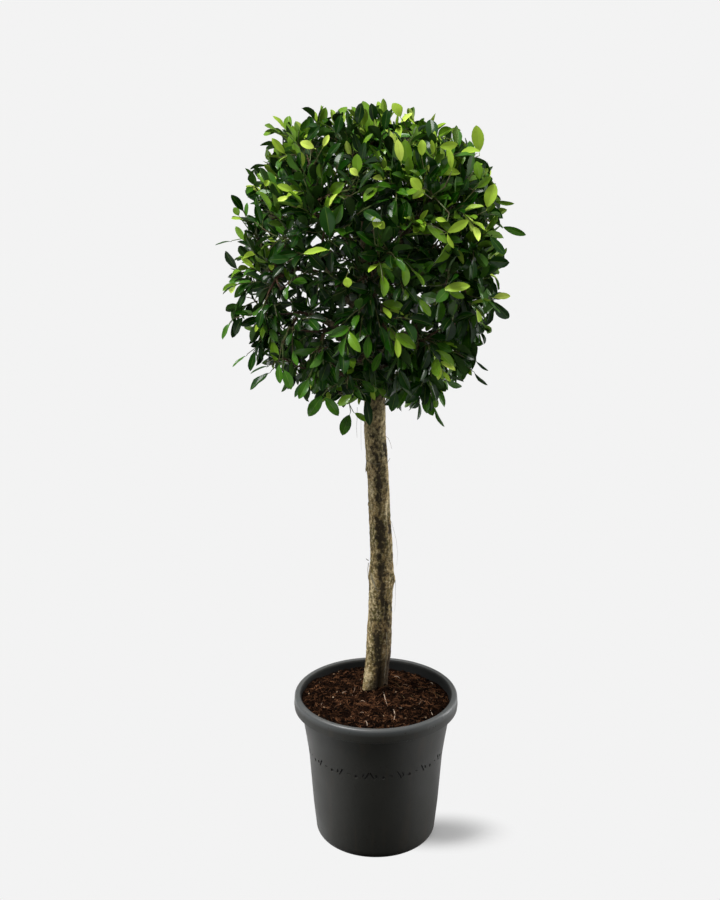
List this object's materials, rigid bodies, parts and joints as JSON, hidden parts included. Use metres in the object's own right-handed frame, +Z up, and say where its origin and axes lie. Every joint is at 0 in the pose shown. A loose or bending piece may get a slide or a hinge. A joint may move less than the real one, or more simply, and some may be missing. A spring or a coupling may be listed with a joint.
{
  "type": "potted indian laurel fig",
  "caption": "Clear-stemmed indian laurel fig with a clipped round crown of glossy leaves, standing in a round nursery pot of potting mix.",
  "frame": {"origin": "centre of the pot's flat underside, on the floor", "axes": "+Z up the stem, -Y towards the side that the picture shows, +X to the right as the picture is seen"},
  "size_m": [0.5893, 0.5839, 1.5301],
  "materials": {
    "pot": "matt charcoal moulded plastic with a satin rim",
    "soil": "coarse brown bark and coir potting mix",
    "bark": "mottled grey-brown and cream bark with dark patches",
    "foliage": "glossy dark green leaves, yellow-green when young"
  },
  "bodies": {
    "root": {"pot": "pot", "soil": "soil", "trunk": "bark", "bough_lower_1": "bark", "bough_lower_2": "bark", "bough_lower_3": "bark", "bough_lower_4": "bark", "bough_lower_5": "bark", "bough_middle_1": "bark", "bough_middle_2": "bark", "bough_middle_3": "bark", "bough_middle_4": "bark", "bough_middle_5": "bark", "bough_middle_6": "bark", "bough_upper_1": "bark", "bough_upper_2": "bark", "bough_upper_3": "bark", "bough_upper_4": "bark", "bough_upper_5": "bark", "foliage_lower_1": "foliage", "foliage_lower_2": "foliage", "foliage_lower_3": "foliage", "foliage_lower_4": "foliage", "foliage_lower_5": "foliage", "foliage_middle_1": "foliage", "foliage_middle_2": "foliage", "foliage_middle_3": "foliage", "foliage_middle_4": "foliage", "foliage_middle_5": "foliage", "foliage_middle_6": "foliage", "foliage_upper_1": "foliage", "foliage_upper_2": "foliage", "foliage_upper_3": "foliage", "foliage_upper_4": "foliage", "foliage_upper_5": "foliage", "foliage_top": "foliage"}
  },
  "joints": []
}
